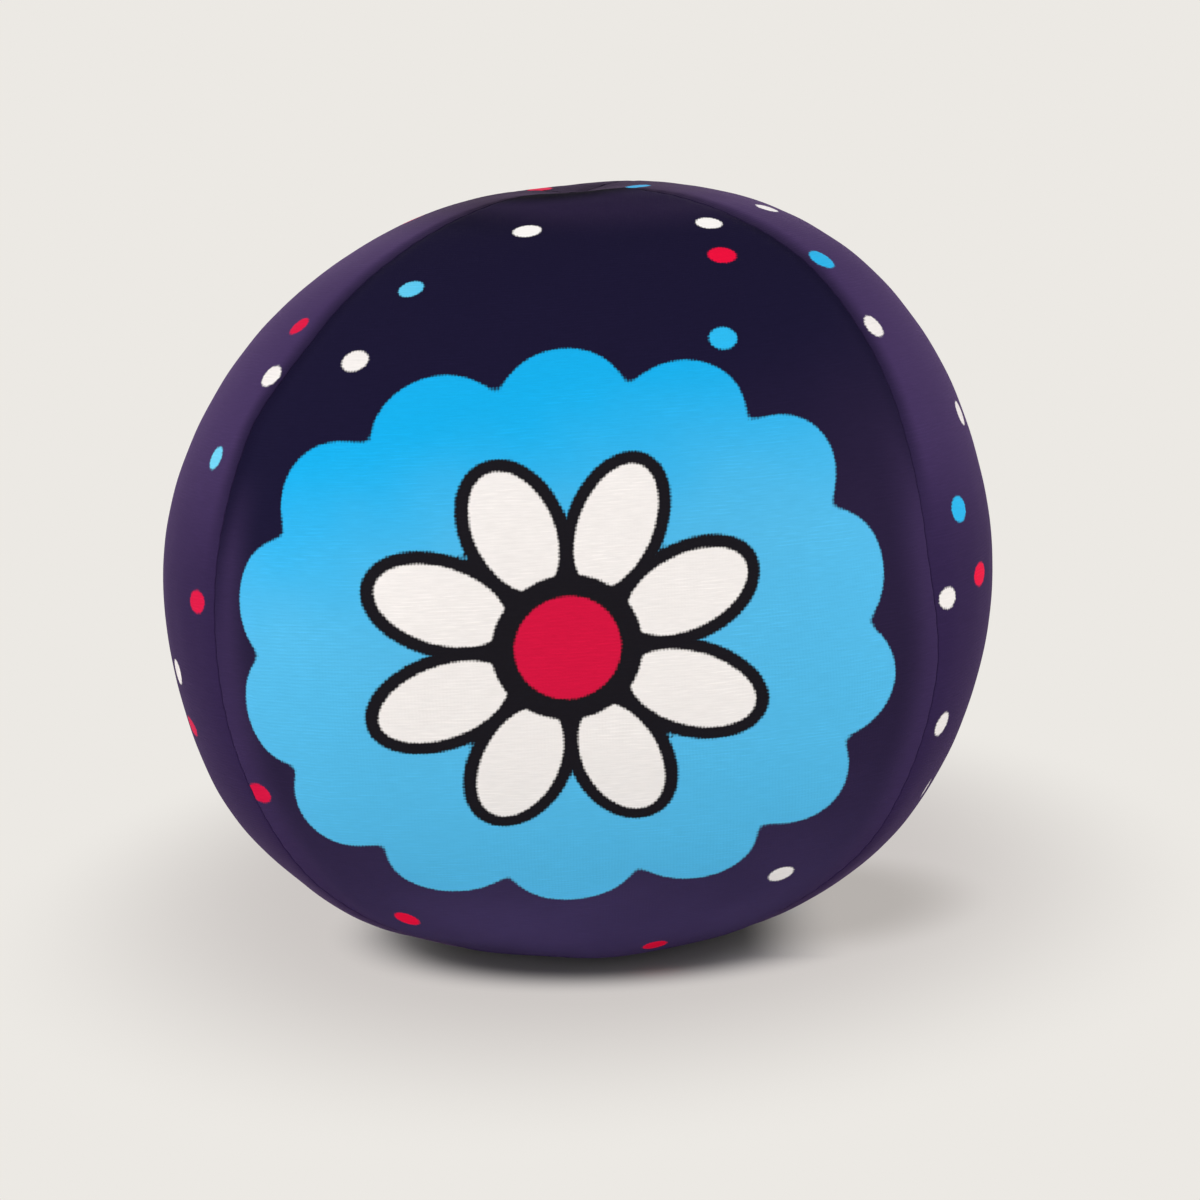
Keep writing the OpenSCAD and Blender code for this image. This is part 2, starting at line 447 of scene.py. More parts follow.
def plan_reach(a):
    """Radius of the plan outline in direction a, as a share of its radius at a panel's middle."""
    return (np.abs(np.cos(a)) ** PLAN_POWER + np.abs(np.sin(a)) ** PLAN_POWER) ** (-1 / PLAN_POWER)


def ring_r(lat):
    """Radius at a panel's middle."""
    return HALF_W * np.maximum(np.cos(lat), 0) ** (2 / SIDE_POWER)


def corner_r(lat):
    """Radius at a seam."""
    return ring_r(lat) * plan_reach(SEAM_ANGLE)


def ring_z(lat):
    return HEART[2] + np.sign(lat) * HALF_H * np.abs(np.sin(lat)) ** (2 / SIDE_POWER)


def lat_of(r):
    return np.arccos((r / HALF_W) ** (SIDE_POWER / 2))


def standing(z):
    """Height with a soft turn where the ball flattens on the floor."""
    lowest = (-SETTLE + math.hypot(SETTLE, FOOT_SOFT)) / 2
    return (z + np.hypot(z, FOOT_SOFT)) / 2 - lowest


def skin(a, lat):
    """Points of the outer surface in direction a from the front."""
    a, lat = np.broadcast_arrays(a, lat)
    r = ring_r(lat) * plan_reach(a)
    return np.stack([r * np.sin(a), -r * np.cos(a), standing(ring_z(lat))], -1)


def sunk(points, depth):
    """Points moved towards the middle of the ball."""
    return points + np.asarray(depth)[..., None] * unit(HEART - points)


def turned(points, a):
    """Points turned by angle a round the ball's axis."""
    c, s = math.cos(a), math.sin(a)
    return points @ np.array([[c, s, 0], [-s, c, 0], [0, 0, 1]])


def row_lats(count, tip):
    """Latitudes of rows from pole to pole, evenly spaced along a panel's middle."""
    half = np.linspace(0, lat_of(tip), FINE_ROWS)
    fine = np.concatenate([-half[:0:-1], half])
    run = run_along(skin(0.0, fine))
    return np.interp(np.linspace(0, run[-1], count), run, fine)


# Stuffing

def lump_waves():
    """Directions and phases of the gentle waves that make up the stuffing's unevenness."""
    rng = np.random.RandomState(LUMP_SEED)
    directions = unit(rng.normal(size=(LUMP_WAVES, 3)))
    spans = LUMP_SPAN * rng.uniform(*LUMP_SPREAD, LUMP_WAVES)
    return directions * (2 * math.pi / spans)[:, None], rng.uniform(0, 2 * math.pi, LUMP_WAVES)


def simulated_cover():
    """How far each point of a coarse cover moves as it is stuffed, row by row and round the ball."""
    lats = row_lats(COVER_ROWS, COVER_TIP)
    angles = 2 * math.pi * np.arange(COVER_AROUND) / COVER_AROUND - SEAM_ANGLE
    rest = skin(angles[None, :], lats[:, None])
    poles = np.array([[0, 0, 0], [0, 0, HEART[2] + HALF_H]])
    points = np.concatenate([rest.reshape(-1, 3), poles])
    ids = grid_ids(COVER_ROWS, COVER_AROUND)
    cover = add_mesh("cover", points, ring_faces(ids) + pole_faces(ids, ids.size, ids.size + 1))
    held = cover.vertex_groups.new(name="held")
    held.add(np.nonzero(points[:, 2] < COVER_HELD)[0].tolist(), 1.0, "REPLACE")
    drawn = cover.vertex_groups.new(name="drawn")
    for row, lat in zip(ids[:, ::COVER_COLUMNS].tolist(), lats):
        drawn.add(row, math.cos(lat), "REPLACE")
    stuff_cover(cover)
    stuffed_mesh = cover.evaluated_get(bpy.context.evaluated_depsgraph_get()).data
    flat = np.empty(3 * len(points))
    stuffed_mesh.vertices.foreach_get("co", flat)
    bpy.data.objects.remove(cover)
    bpy.context.scene.frame_set(1)
    moves = (flat.reshape(-1, 3) - points)[:-2].reshape(rest.shape)
    length = norm(moves, axis=-1, keepdims=True)
    return lats, moves * np.minimum(1, COVER_CAP / np.maximum(length, TINY))


def stuff_cover(cover):
    """Runs the cloth simulation of the cover up to its last frame."""
    cloth = cover.modifiers.new("stuffing", "CLOTH")
    for name, value in COVER_CLOTH.items():
        setattr(cloth.settings, name, value)
    cloth.settings.effector_weights.gravity = 0
    cloth.point_cache.frame_end = COVER_FRAMES
    for number in range(1, COVER_FRAMES + 1):
        bpy.context.scene.frame_set(number)


def cubic_weights(t):
    """Weights of the four neighbours of a place between the middle two, for a smooth curve through them."""
    return np.stack([
        -0.5 * t + t ** 2 - 0.5 * t ** 3, 1 - 2.5 * t ** 2 + 1.5 * t ** 3,
        0.5 * t + 2 * t ** 2 - 1.5 * t ** 3, -0.5 * t ** 2 + 0.5 * t ** 3,
    ], -1)


def cover_move(a, lat):
    """The simulated cover's movement in some directions, smoothly between its points."""
    row = np.interp(lat, COVER_LATS, np.arange(COVER_ROWS))
    column = ((a + SEAM_ANGLE) / (2 * math.pi) * COVER_AROUND) % COVER_AROUND
    low, left = np.floor(row).astype(int), np.floor(column).astype(int)
    up, across = cubic_weights(row - low), cubic_weights(column - left)
    total = np.zeros(np.shape(a) + (3,))
    for i in range(4):
        rows = np.clip(low + i - 1, 0, COVER_ROWS - 1)
        for j in range(4):
            moves = COVER_MOVES[rows, (left + j - 1) % COVER_AROUND]
            total += (up[..., i] * across[..., j])[..., None] * moves
    return total


def direction_of(points):
    """Angle from the front and latitude of the directions in which points lie from the ball's middle."""
    x, y, z = xyz(points - HEART)
    a = np.arctan2(x, -y)
    steep = np.abs(z) / np.maximum(np.hypot(x, y), TINY) * HALF_W * plan_reach(a) / HALF_H
    return a, np.sign(z) * np.arctan(steep ** (SIDE_POWER / 2))


def pole_drop(points):
    """Rise of points near the top pole, where the gores' tips are drawn in and the crown tips forward."""
    x, y, z = xyz(points)
    reach = np.hypot(x, y)
    tip = POLE_TILT * y * np.exp(-(reach / POLE_TILT_REACH) ** 2)
    return smooth_step(z, *POLE_SPAN) * (tip - POLE_DEPTH * np.exp(-(reach / POLE_REACH) ** 2))


def shifted_seams(points):
    """Points carried along the plan outline beside the front seams that the stuffing has pushed aside."""
    x, y, z = xyz(points)
    a = np.arctan2(x, -y)
    turn = np.zeros(a.shape)
    for seam, shift, rise, fall in SEAM_SHIFTS:
        height = smooth_step(z, *rise) * smooth_step(z, *fall[::-1])
        beside = np.clip(np.abs(a - seam) / SEAM_ANGLE, 0, 1)
        turn = turn + shift / corner_r(0.0) * height * np.cos(beside * math.pi / 2) ** 2
    reach = np.hypot(x, y) * plan_reach(a + turn) / plan_reach(a)
    return np.stack([reach * np.sin(a + turn), -reach * np.cos(a + turn), z], -1)


def foot_sag(a, lat):
    """Drop of the cloth, and of all inside it, where it hangs lower just off the foot."""
    x, y, z = xyz(skin(a, lat))
    share = np.zeros(np.shape(a))
    for sag_x, sag_y, amount, reach in FOOT_SAGS:
        apart = ((x - sag_x) / reach) ** 2 + ((y - sag_y) / reach) ** 2
        share = share + amount * np.exp(-apart) * (z < HEART[2])
    return share * z


def stuffed(points):
    """Points of any piece as the soft ball holds them: stuffed, uneven, and leaning a little."""
    points = shifted_seams(points)
    out = points - HEART
    reach = norm(out, axis=-1, keepdims=True)
    waves = np.sin(points @ WAVES.T + PHASES).sum(-1, keepdims=True) * LUMP_DEPTH
    seen = np.arctan2(out[..., 2:3], out[..., 0:1])
    edge = (np.hypot(out[..., 0:1], out[..., 2:3]) / HALF_W) ** 2
    for angle, amount, width in BULGES:
        off = (seen - math.radians(angle) + math.pi) % (2 * math.pi) - math.pi
        waves = waves + amount * edge * np.exp(-(off / math.radians(width)) ** 2)
    foot = np.clip(points[..., 2:3] / FOOT_HIGH, 0, 1) ** 2
    moved = points + out / np.maximum(reach, MM) * waves * foot * (reach / HALF_W)
    a, lat = direction_of(points)
    moved = moved + cover_move(a, lat)
    moved[..., 2] += pole_drop(points) - foot_sag(a, lat)
    moved[..., 0] += np.where(out[..., 2] > 0, LEAN_TOP, LEAN_LOW) * out[..., 2]
    return moved


WAVES, PHASES = lump_waves()
COVER_LATS, COVER_MOVES = simulated_cover()


# Pieces and gores

def make_piece(name, points, faces, node, material):
    """A smooth closed piece that rides on the ball and stands for a CAD node."""
    piece = add_mesh(name, points, faces)
    made = bmesh.new()
    made.from_mesh(piece.data)
    bmesh.ops.recalc_face_normals(made, faces=made.faces)
    made.to_mesh(piece.data)
    made.free()
    dress(piece, material)
    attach(piece, "root")
    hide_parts(node)
    return piece


def set_attribute(piece, name, values):
    """A number or a vector at every vertex of a piece, for its material."""
    kind, field = ("FLOAT", "value") if values.ndim == 1 else ("FLOAT_VECTOR", "vector")
    layer = piece.data.attributes.new(name, kind, "POINT")
    layer.data.foreach_set(field, np.ascontiguousarray(values, dtype=np.float32).ravel())


def pucker(w, run):
    """Depth of the small gathers that the stitches pull along a seam."""
    drift = PUCKER_DRIFT * np.sin(run / PUCKER_DRIFT_LEN)
    drawn = 0.5 + 0.5 * np.sin(2 * math.pi * run / PUCKER_PITCH + drift)
    return PUCKER_DEPTH * drawn * np.exp(-(w / PUCKER_REACH) ** 2)


def seam_point(lat, side, w, depth):
    """Points beside a seam of the front panel, w from the seam's plane: side is 1 for the right seam."""
    points = sunk(skin(SEAM_ANGLE, lat) + 0 * w[..., None], depth)
    points = points - w[..., None] * np.array([math.cos(SEAM_ANGLE), math.sin(SEAM_ANGLE), 0])
    return points * np.array([side, 1, 1])


def between_seams(rows, sheet, w, depth):
    """A sheet, row by row, after the points beside its left seam and before those beside its right seam."""
    left, right = (seam_point(rows, side, w, depth) for side in (-1, 1))
    return np.concatenate([left, sheet, right[:, ::-1]], axis=1)


def sheet_angles(rows, edge_w, columns):
    """Directions of a sheet's columns, row by row, between edges that lie edge_w from the seams' planes."""
    reach = SEAM_ANGLE - np.arcsin(np.minimum(STEEPEST, edge_w / corner_r(rows)))
    return reach * np.linspace(-1, 1, columns + 2)[1:-1]


def panel_face(lat, run, middle_depth, bend, columns):
    """One face of the front panel, row by row, from its left raw edge over the sheet to its right raw edge.
    The bend at the seam has its middle at middle_depth. Near the poles the cloth's section is trimmed."""
    share = np.minimum(1, ring_r(lat) / POINT_R)[:, None]
    rows, runs = lat[:, None], run[:, None]
    middle_w = HALF_GAP + middle_depth
    climb = np.linspace(ALLOWANCE, middle_depth, CLIMB_STEPS, endpoint=False)
    turn = np.linspace(0, math.pi / 2, BEND_STEPS)
    edge_w = share * np.concatenate([np.full(len(climb), middle_w - bend), middle_w - bend * np.cos(turn)])
    edge_depth = share * np.concatenate([climb, middle_depth - bend * np.sin(turn)])
    edge_depth = edge_depth + share * pucker(edge_w, runs) * (edge_depth < share * BEND_OUT)
    a = sheet_angles(rows, share * middle_w, columns)
    sheet_w = corner_r(rows) * np.sin(SEAM_ANGLE - np.abs(a))
    sheet = sunk(skin(a, rows), share * (middle_depth - bend) + share * pucker(sheet_w, runs))
    return between_seams(rows, sheet, edge_w, edge_depth)


def cloth_coordinates(outer):
    """Distance of each outer point from the panel's middle line, and along that line from its middle."""
    middle = outer.shape[1] // 2
    across = run_along(outer.swapaxes(0, 1)).T
    across = across - across[:, middle:middle + 1]
    along = run_along(outer[:, middle])
    along = np.broadcast_to((along - along[-1] / 2)[:, None], across.shape)
    return np.stack([across, along], -1).reshape(-1, 2)


class Panel:
    """A gore with its seam allowances: its points, and what its material reads at the outer ones."""

    def __init__(self, name, a, grid):
        self.name, self.a = name, a
        rows, columns = grid
        lat = row_lats(rows, TIP_R)
        run = run_along(skin(SEAM_ANGLE, lat))
        outer = panel_face(lat, run, SOFT_BEND, SOFT_BEND, columns)
        inner = panel_face(lat, run, BEND_OUT, BEND_R, columns // INSIDE_COARSER)
        self.cloth = cloth_coordinates(outer)
        self.outer = stuffed(turned(outer, a))
        self.inner = stuffed(turned(inner, a))
        self.points = self.outer.reshape(-1, 3)
        self.tree = BVHTree.FromPolygons(self.points.tolist(), grid_faces(grid_ids(*outer.shape[:2])))
        from_seam = (-outer[..., 1] - np.abs(outer[..., 0])) / math.sqrt(2)
        self.marks = {"inside": np.zeros(len(self.points)), "seam": from_seam.ravel()}

    def build(self, slot, material):
        outer_ids = grid_ids(*self.outer.shape[:2])
        inner_ids = grid_ids(*self.inner.shape[:2], outer_ids.size)
        faces = grid_faces(outer_ids) + grid_faces(inner_ids)
        for end in (0, -1):
            faces += grid_faces(np.stack([outer_ids[:, end], inner_ids[:, end]]))
            faces.append(outer_ids[end].tolist() + inner_ids[end, ::-1].tolist())
        points = np.concatenate([self.points, self.inner.reshape(-1, 3)])
        piece = make_piece(f"{self.name}_gore", points, faces, f"{self.name}_panel", material)
        cloth = np.concatenate([self.cloth, np.zeros((inner_ids.size, 2))])
        set_attribute(piece, "cloth", np.c_[cloth, np.full(len(cloth), self.a)])
        for name, values in self.marks.items():
            set_attribute(piece, name, np.concatenate([values, np.full(inner_ids.size, FAR)]))


# Threads

def seam_track(a, turn, w, depth):
    """Points in the plane of two opposite seams, at angles in degrees from the equator on side a
    over the top pole to 180 on the far side, and under the bottom pole to 360."""
    far = (turn > 90) & (turn <= 270)
    lat = np.where(far, 180 - turn, np.where(turn > 270, turn - 360, turn))
    points = sunk(skin(np.where(far, a + math.pi, a), np.radians(lat)), np.full(turn.shape, depth))
    return points + w[:, None] * np.array([math.cos(a), math.sin(a), 0])


def metres_per_degree():
    return (corner_r(0.0) + HALF_H) * math.pi / 360


def stitch_path(a, start, end, length, reach, depth):
    """Running stitch from one side of a seam to the other, with rounded turns."""
    count = round((end - start) * metres_per_degree() / length)
    step = (end - start) / count
    ends = np.array([STITCH_SLANT, 1 - STITCH_SLANT])
    turn = start + step * (np.arange(count)[:, None] + ends).ravel()
    side = np.repeat(np.where(np.arange(count) % 2 == 0, 1.0, -1.0), 2)
    fine = np.linspace(turn[0], turn[-1], STITCH_POINTS * count)
    across = np.interp(fine, turn, side * reach)
    across = np.convolve(np.pad(across, 1, mode="edge"), [0.25, 0.5, 0.25], mode="valid")
    return seam_track(a, fine, across, depth)


def build_thread(name, path, material):
    """Two-ply sewing thread along a path inside the seam."""
    path = stuffed(path)
    along = unit(np.gradient(path, axis=0))
    across = unit(np.cross(along, HEART - path))
    down = np.cross(across, along)
    around = 2 * math.pi * np.arange(THREAD_SIDES) / THREAD_SIDES
    ply = around[None, :] - (run_along(path) / PLY_LEN)[:, None] * math.pi
    radius = THREAD_D / 2 * (1 - PLY_DEPTH + PLY_DEPTH * np.abs(np.cos(ply)))[..., None]
    c, s = np.cos(around)[None, :, None], np.sin(around)[None, :, None]
    rings = path[:, None] + radius * (c * down[:, None] + s * across[:, None])
    ids = grid_ids(len(path), THREAD_SIDES)
    faces = ring_faces(ids) + [ids[0].tolist(), ids[-1].tolist()]
    make_piece(f"{name}_stitches", rings.reshape(-1, 3), faces, f"{name}_thread", material)


def build_threads(material):
    """The seams' running stitches, and the ladder stitches that close the stuffing opening."""
    running = (STITCH_LEN, HALF_GAP + CLOTH_T + THREAD_D / 2, BEND_OUT + STITCH_DROP)
    ladder = (LADDER_LEN, HALF_GAP + CLOTH_T / 2, LADDER_SHARE * BEND_OUT)
    end = math.degrees(lat_of(POINT_R))
    half = OPENING_LEN / 2 / metres_per_degree()
    clear = THREAD_CLEAR / metres_per_degree()
    opening = (OPENING_LAT - half, OPENING_LAT + half)
    rest = (opening[1] + clear, 360 + opening[0] - clear)
    long_a = math.pi + SEAM_ANGLE
    for name, a, span, stitch in (
        ("front_left", -SEAM_ANGLE, (-end, end), running),
        ("back_right", math.pi - SEAM_ANGLE, (-end, end), running),
        ("long_seam", long_a, rest, running),
        ("opening", long_a, opening, ladder),
    ):
        build_thread(name, stitch_path(a, *span, *stitch), material)


# Filling

def fill_ring(lat, depth, floor_w):
    """Rings of the filling: four sides with a slot for the seam allowances at each corner."""
    edge = max(SLOT_HALF, HALF_GAP + BEND_OUT)
    rows = lat[:, None]
    drop = np.linspace(0, 1, WALL_STEPS)
    wall_w = floor_w + (edge - floor_w) * drop
    wall_depth = SLOT_DEPTH + (depth - SLOT_DEPTH) * drop
    wall_w, wall_depth = (np.broadcast_to(x, (len(lat), WALL_STEPS)) for x in (wall_w, wall_depth))
    sheet = skin(sheet_angles(rows, edge, FILL_COLUMNS), rows)
    waves = np.sin(sheet @ (WAVES[:TUFT_WAVES] * TUFT_FINER).T + PHASES[:TUFT_WAVES])
    tufts = TUFT_DEPTH * (1 + waves.mean(-1))
    sheet = sunk(sheet, depth + tufts * (depth < SLOT_DEPTH))
    side = between_seams(rows, sheet, wall_w, wall_depth)
    return np.concatenate([turned(side, k * math.pi / 2) for k in range(4)], axis=1)


def build_filling(material):
    pocket = lat_of(np.array([POCKET_SHARE * POINT_R]))
    rings = np.concatenate([
        fill_ring(-pocket, SLOT_DEPTH, SLOT_HALF / 2),
        fill_ring(row_lats(FILL_ROWS, POINT_R), CLOTH_T + FILL_GAP, SLOT_HALF),
        fill_ring(pocket, SLOT_DEPTH, SLOT_HALF / 2),
    ])
    poles = np.array([[0, 0, SLOT_DEPTH], [0, 0, HEART[2] + HALF_H - SLOT_DEPTH]])
    points = stuffed(np.concatenate([rings.reshape(-1, 3), poles]))
    ids = grid_ids(*rings.shape[:2])
    faces = ring_faces(ids) + pole_faces(ids, ids.size, ids.size + 1)
    piece = make_piece("filling", points, faces, "fibre_filling", material)


# Camera

def camera_axes():
    """Place, right, up and forward of the photograph's view, with the ball's middle on its pixel."""
    e, roll = CAMERA_ELEVATION, CAMERA_ROLL
    middle = Vector(HEART)
    level = Vector((1, 0, 0))
    rise = Vector((0, math.sin(e), math.cos(e)))
    right = level * math.cos(roll) + rise * math.sin(roll)
    up = rise * math.cos(roll) - level * math.sin(roll)
    place = middle - Vector((0, math.cos(e), -math.sin(e))) * CAMERA_REACH
    half = PHOTO_SIZE / 2
    aim = middle + (right * (half - BALL_PIXEL[0]) - up * (half - BALL_PIXEL[1])) * PIXEL
    forward = (aim - place).normalized()
    right = (right - forward * right.dot(forward)).normalized()
    return place, right, right.cross(forward), forward


def build_camera():
    place, right, up, forward = camera_axes()
    data = bpy.data.cameras.new("photo_camera")
    data.sensor_width = SENSOR_WIDTH
    data.lens = SENSOR_WIDTH * CAMERA_REACH / PIXEL / PHOTO_SIZE
    camera = add_object("photo_camera", data)
    turn = Matrix((right, up, -forward)).transposed().to_4x4()
    camera.matrix_world = Matrix.Translation(place) @ turn
    bpy.context.scene.camera = camera


def pixel_ray(pixel):
    place, right, up, forward = camera_axes()
    half = PHOTO_SIZE / 2
    sideways = (pixel[0] - half) * PIXEL / CAMERA_REACH
    upwards = (half - pixel[1]) * PIXEL / CAMERA_REACH
    return place, (forward + right * sideways + up * upwards).normalized()


# Print

def seen_at(panels, pixel):
    """The panel and the outer point under a pixel, or those nearest to its ray just past the outline."""
    place, direction = pixel_ray(pixel)
    found = []
    for panel in panels:
        point, _, _, distance = panel.tree.ray_cast(place, direction)
        if point is not None:
            found.append((distance, panel, np.array(point)))
    if not found:
        for panel in panels:
            gap = norm(np.cross(panel.points - np.array(place), np.array(direction)), axis=1)
            found.append((gap.min(), panel, panel.points[gap.argmin()]))
    return min(found, key=lambda entry: entry[0])[1:]


def unseen_dots(panels, taken):
    """Dots in the same loose scatter over the parts of the ball that the photograph doesn't show."""
    rng = np.random.RandomState(SCATTER_SEED)
    place = np.array(camera_axes()[0])
    found = []
    for _ in range(SCATTER_TRIES):
        panel = panels[rng.randint(len(panels))]
        a = panel.a + rng.uniform(-SEAM_ANGLE, SEAM_ANGLE) * SCATTER_WIDE
        lat = math.asin(rng.uniform(-SCATTER_HIGH, SCATTER_HIGH))
        rough = stuffed(skin(a, lat))
        point = panel.points[norm(panel.points - rough, axis=1).argmin()]
        if unit(point - HEART) @ unit(place - point) > SCATTER_HIDDEN:
            continue
        others = np.array(taken + [dot for _, dot in found])
        if norm(others - point, axis=1).min() > SCATTER_SPACING * rng.uniform(*SCATTER_SPREAD):
            found.append((panel, point))
    return found


def ellipse_distance(points, half):
    """Distance from the edge of an ellipse, close to the edge, negative inside."""
    scaled = norm(points / half, axis=-1)
    slope = norm(points / half ** 2, axis=-1)
    reach = np.where(slope > TINY, scaled / np.maximum(slope, TINY), half.min())
    return reach * (scaled - 1)


def oval_distance(points, middle, half):
    """Distance from the edge of an oval dot, close to it, with its half-lengths round the ball and up it."""
    out = middle - HEART
    around = np.array([-out[1], out[0], 0.0]) / math.hypot(out[0], out[1])
    offset = points - middle
    side = offset @ around
    up = np.sqrt(np.maximum(np.sum(offset ** 2, axis=-1) - side ** 2, 0))
    return ellipse_distance(np.stack([side, up], -1), half)


def print_dots(panels):
    """Distance from the edge of the nearest dot of each colour, at every outer point of every panel."""
    placed = {}
    for name, dots in DOTS.items():
        placed[name] = [seen_at(panels, dot[:2]) + (np.array(dot[2:]) * MM,) for dot in dots]
    taken = [point for dots in placed.values() for _, point, _ in dots]
    rng = np.random.RandomState(DOT_SEED)
    for count, (owner, point) in enumerate(unseen_dots(panels, taken)):
        half = DOT_HALF * rng.uniform(*DOT_SPREAD, 2)
        placed[list(placed)[count % len(placed)]].append((owner, point, half))
    for panel in panels:
        for name, dots in placed.items():
            nearest = np.full(len(panel.points), FAR)
            for owner, point, half in dots:
                if owner is panel:
                    nearest = np.minimum(nearest, oval_distance(panel.points, point, half))
            panel.marks[name] = nearest


def spokes(count):
    """Directions spread evenly round a middle."""
    angles = 2 * math.pi * (np.arange(count) + 0.5) / count
    return np.stack([np.cos(angles), np.sin(angles)], -1)


def print_medallion(panels):
    """Distances from the edges of the rosette and of its daisy's petals, and from the daisy's middle."""
    front, centre = seen_at(panels, MEDALLION_PIXEL)
    nearest = norm(front.points - centre, axis=1).argmin()
    place = front.cloth - front.cloth[nearest]
    rosette = -ellipse_distance(place, ROSETTE_HALF) / NOTCH_SOFT
    for spoke in spokes(ROSETTE_LOBES):
        lobe = (LOBE_R - norm(place - ROSETTE_HALF * spoke, axis=1)) / NOTCH_SOFT
        rosette = np.logaddexp(rosette, lobe)
    petals = np.full(len(place), FAR)
    for along in spokes(DAISY_PETALS):
        across = np.array([-along[1], along[0]])
        own = np.c_[place @ along - PETAL_AT, place @ across]
        petals = np.minimum(petals, ellipse_distance(own, PETAL_HALF))
    front.marks["rosette"] = -NOTCH_SOFT * rosette
    front.marks["petals"] = petals
    front.marks["disc"] = norm(place, axis=1)


# Materials

class Nodes:
    """Short calls for the nodes of one material, or of the world."""

    def __init__(self, owner):
        owner.use_nodes = True
        self.owner = owner
        self.tree = owner.node_tree

    def put(self, value, socket):
        if isinstance(value, bpy.types.NodeSocket):
            self.tree.links.new(value, socket)
        else:
            socket.default_value = value

    def add(self, kind, **settings):
        node = self.tree.nodes.new(kind)
        for key, value in settings.items():
            setattr(node, key, value)
        return node

    def feed(self, node, *values):
        """Puts values on a node's inputs in order, and gives its outputs."""
        for value, socket in zip(values, node.inputs):
            self.put(value, socket)
        return node.outputs

    def fill(self, node, values):
        """Puts values on a node's inputs by name, and gives its first output."""
        for name, value in values.items():
            self.put(value, node.inputs[name])
        return node.outputs[0]

    def place(self):
        return self.add("ShaderNodeTexCoord").outputs["Object"]

    def camera_ray(self):
        return self.add("ShaderNodeLightPath").outputs["Is Camera Ray"]

    def attribute(self, name, output="Fac"):
        return self.add("ShaderNodeAttribute", attribute_name=name).outputs[output]

    def split(self, vector):
        return self.feed(self.add("ShaderNodeSeparateXYZ"), vector)

    def math(self, operation, *values):
        return self.feed(self.add("ShaderNodeMath", operation=operation), *values)[0]

    def vector(self, operation, *values):
        return self.feed(self.add("ShaderNodeVectorMath", operation=operation), *values)

    def times(self, *values):
        product = values[0]
        for value in values[1:]:
            product = self.math("MULTIPLY", product, value)
        return product

    def noise(self, vector, grain, detail=2.0, roughness=0.5):
        values = {"Scale": 1.0, "Detail": detail, "Roughness": roughness}
        values["Vector"] = self.vector("MULTIPLY", vector, grain)[0]
        return self.fill(self.add("ShaderNodeTexNoise"), values)

    def ramp(self, value, start, end, low=0.0, high=1.0):
        node = self.add("ShaderNodeMapRange", interpolation_type="SMOOTHSTEP")
        span = {"From Min": start, "From Max": end, "To Min": low, "To Max": high}
        return self.fill(node, {"Value": value, **span})

    def patch(self, place, middle, weights, start, end, low=0.0, high=1.0):
        """Ramp over the distance from a middle, with a weight for each direction."""
        offset = self.vector("SUBTRACT", place, middle)[0]
        weighed = self.vector("MULTIPLY", offset, weights)[0]
        return self.ramp(self.vector("LENGTH", weighed)["Value"], start, end, low, high)

    def mix(self, factor, first, second, blend="MIX"):
        node = self.add("ShaderNodeMix", data_type="RGBA", blend_type=blend)
        sockets = [s for s in node.inputs if s.enabled]
        for value, socket in zip((factor, first, second), sockets):
            self.put(value, socket)
        return [s for s in node.outputs if s.enabled][0]

    def bump(self, height, distance, strength=1.0):
        values = {"Height": height, "Distance": distance, "Strength": strength}
        return self.fill(self.add("ShaderNodeBump"), values)

    def surface(self, color, roughness, normal, sheen, sheen_roughness, sheen_tint, specular):
        self.fill(self.tree.nodes["Principled BSDF"], {
            "Base Color": color, "Roughness": roughness, "Normal": normal, "Sheen Weight": sheen,
            "Sheen Roughness": sheen_roughness, "Sheen Tint": sheen_tint, "Specular IOR Level": specular,
        })
        return self.owner

    def show(self, share, lit, seen, output):
        """Joins a lit shader with a share of one that only the camera sees."""
        mixed = self.feed(self.add("ShaderNodeMixShader"), share, lit, seen)[0]
        self.put(mixed, self.tree.nodes[output].inputs["Surface"])


def knit_wave(nodes, cloth, axis, pitch):
    """Wave across the rows or the wales of the knit, a little uneven."""
    drift = nodes.noise(cloth, DRIFT_GRAIN, detail=1.0)
    place = nodes.math("MULTIPLY_ADD", drift, KNIT_DRIFT, nodes.split(cloth)[axis])
    return nodes.math("SINE", nodes.times(place, 2 * math.pi / pitch))


def print_edge(nodes, cloth, rows, wales):
    """Uneven offset of a print's edge: short teeth along the rows of the knit and across them."""
    along = nodes.noise(cloth, TOOTH_ALONG, detail=1.0)
    across = nodes.noise(cloth, TOOTH_ACROSS, detail=1.0)
    uneven = nodes.math("MULTIPLY_ADD", nodes.math("ADD", along, across), EDGE_UNEVEN, -EDGE_UNEVEN)
    return nodes.math("MULTIPLY_ADD", nodes.math("ADD", rows, wales), EDGE_TOOTH, uneven)


def inked(nodes, base, ink, distance, edge, inset=0.0):
    """Colour with an ink laid over it where a distance is below the inset, with the print's uneven edge."""
    uneven = nodes.math("ADD", distance, edge)
    return nodes.mix(nodes.ramp(uneven, EDGE_SOFT + inset, -EDGE_SOFT + inset), base, ink)


